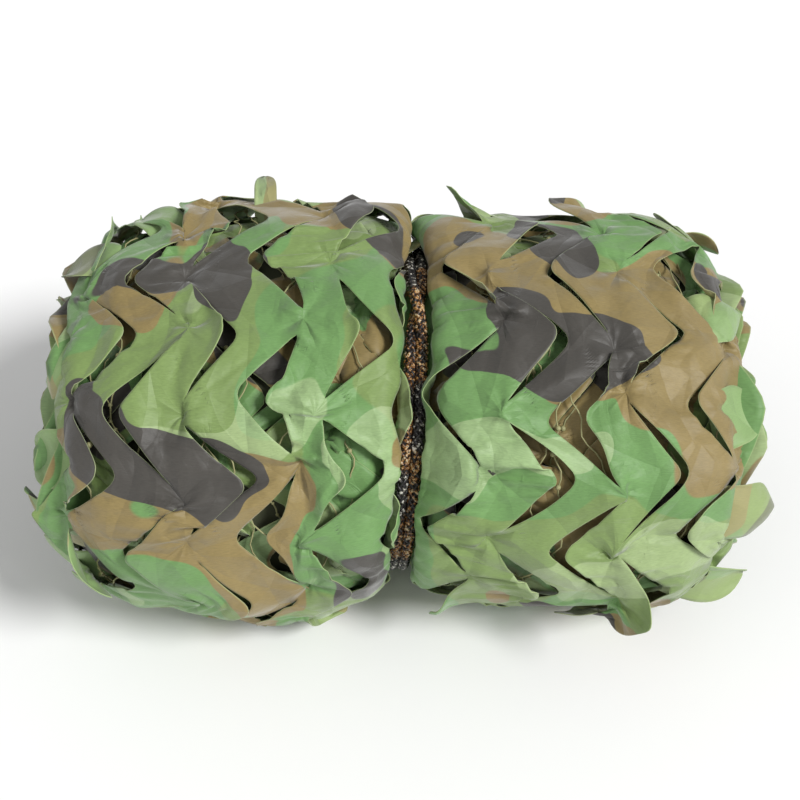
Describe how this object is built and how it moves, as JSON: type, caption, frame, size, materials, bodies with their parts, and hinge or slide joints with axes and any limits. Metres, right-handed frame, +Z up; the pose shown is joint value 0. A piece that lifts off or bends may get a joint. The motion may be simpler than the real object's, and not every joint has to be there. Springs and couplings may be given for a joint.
{
  "type": "rolled camouflage net with a tie cord",
  "caption": "Leaf-cut camouflage net, folded and rolled into a bundle and tied round its middle with a doubled cord, lying on a flat spot.",
  "frame": {"origin": "the middle of the bounding box's base, on the surface that the roll lies on", "axes": "+X along the roll from its larger lobe to its smaller one, +Y to the back, +Z up"},
  "size_m": [0.4639, 0.3217, 0.2452],
  "materials": {
    "camouflage_cloth": "satin coated cloth printed in greens, tan and dark brown",
    "tie_cord": "braided cord mottled black, tan and orange-brown"
  },
  "bodies": {
    "root": {"net_roll": "camouflage_cloth", "tie_cord": "tie_cord"}
  },
  "joints": []
}
